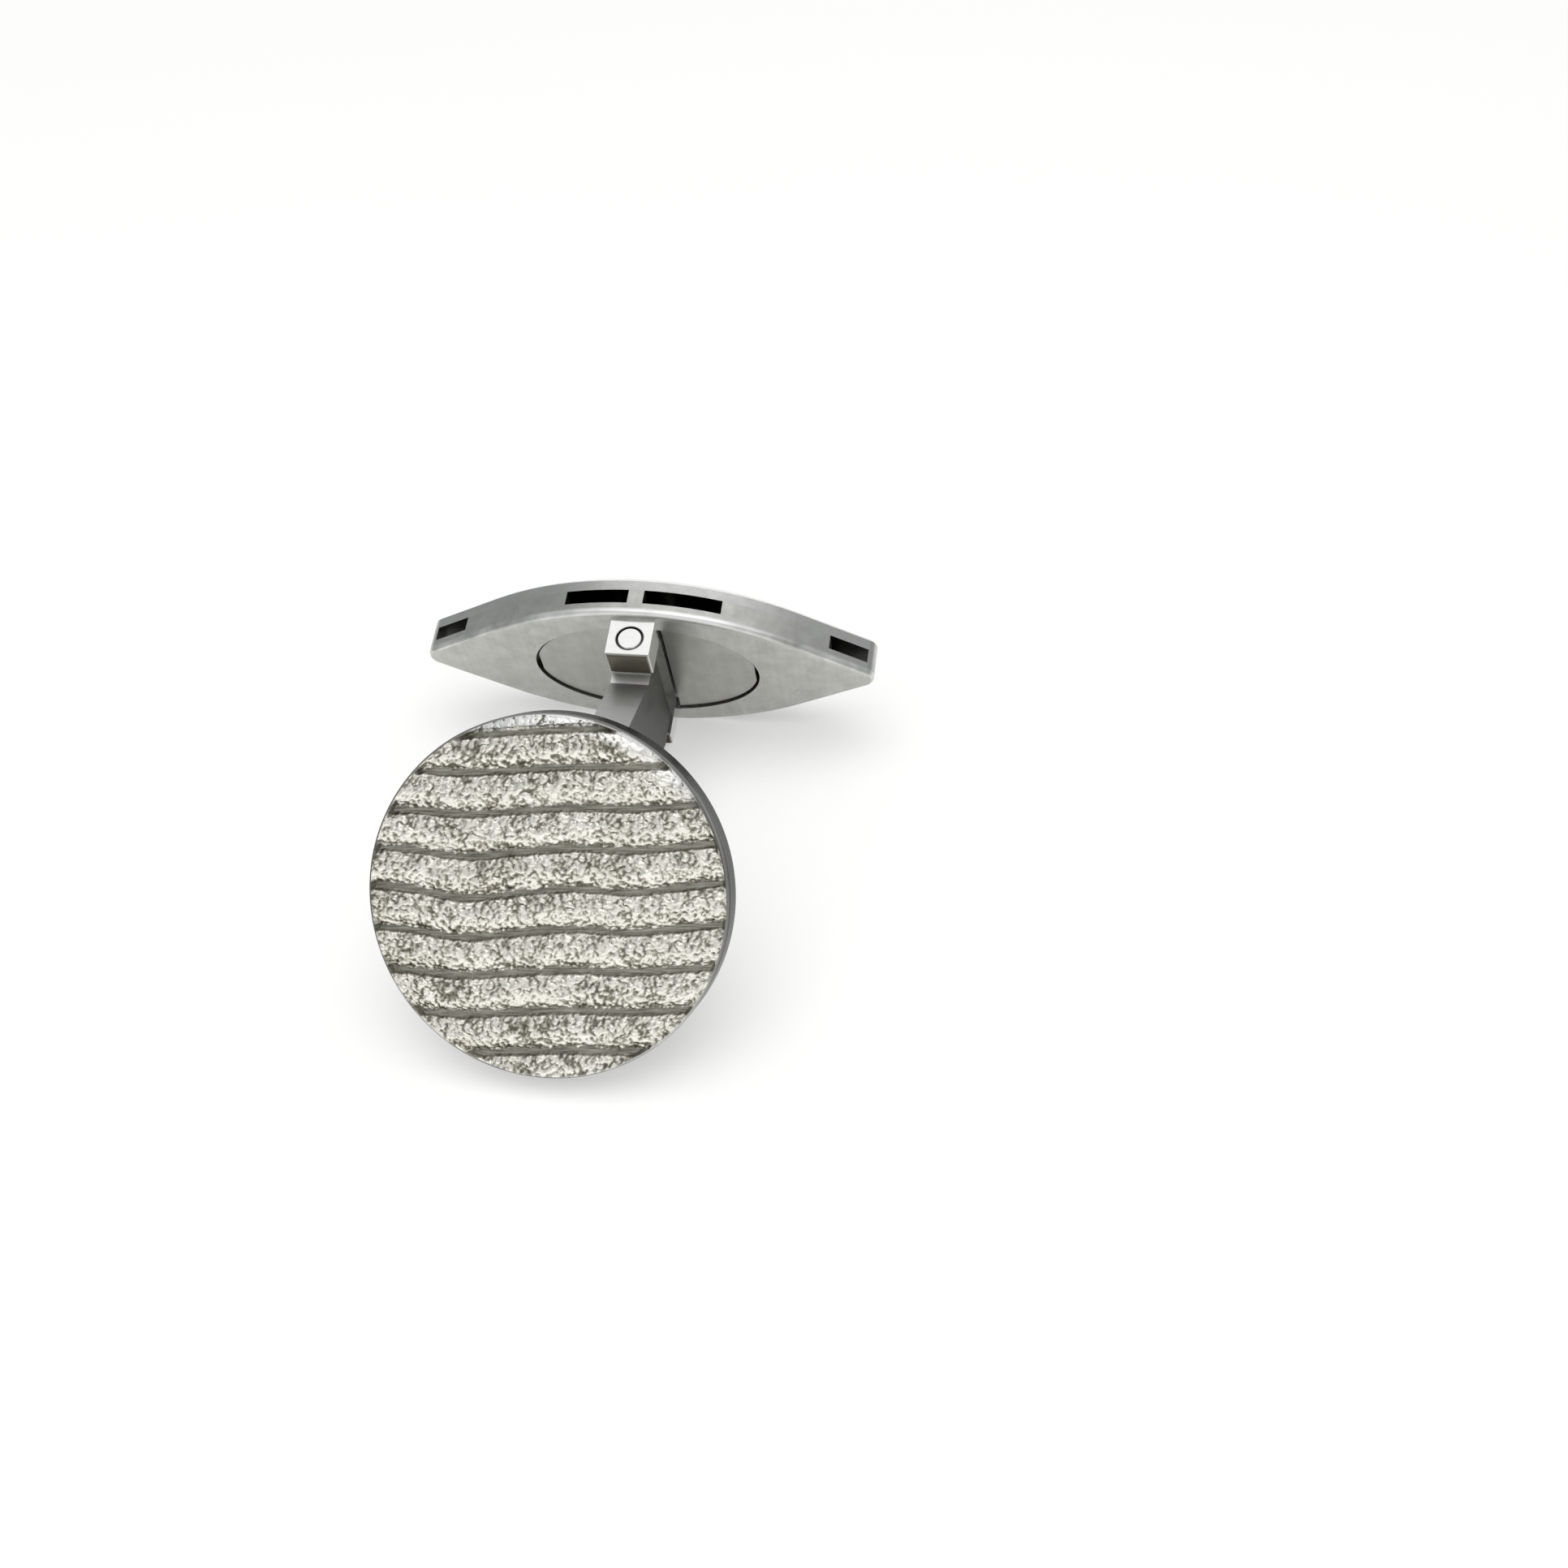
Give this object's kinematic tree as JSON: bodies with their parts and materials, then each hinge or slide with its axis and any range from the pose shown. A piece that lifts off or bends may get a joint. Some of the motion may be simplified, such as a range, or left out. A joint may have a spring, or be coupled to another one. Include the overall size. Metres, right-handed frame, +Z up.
{
  "type": "cufflink",
  "caption": "Round cufflink with a wavy grooved face, a flat post and a pointed oval toggle that swivels on a cross pin.",
  "frame": {"origin": "bottom centre of the cufflink's box, on the table that it lies on", "axes": "+X along the toggle, +Y from the round face to the toggle, +Z up"},
  "size_m": [0.0224, 0.0266, 0.0133],
  "materials": {
    "grooved_face": "granular silver bands between matt grooves, polished rim",
    "polished_back": "polished steel",
    "post_steel": "smooth steel",
    "satin_steel": "satin, fine brush lines",
    "brushed_cover": "satin, brushed along one way",
    "polished_lug": "polished steel",
    "spring_steel": "satin, brushed across"
  },
  "bodies": {
    "link": {"face_cap": "grooved_face", "disc_back_plate": "polished_back", "post_collar": "polished_back", "post_blade": "post_steel"},
    "toggle": {"toggle_tray": "satin_steel", "cover_plate": "brushed_cover", "upper_lug": "polished_lug", "lower_lug": "polished_lug", "pivot_pin": "polished_lug", "left_leaf_spring": "spring_steel", "right_leaf_spring": "spring_steel"}
  },
  "joints": [
    {"name": "toggle_swivel", "type": "hinge", "parent": "link", "child": "toggle", "pos_m": [0, 0.00884, 0.00383], "axis": [0, -0.3173, 0.9483], "range_deg": [-90, 90]}
  ]
}
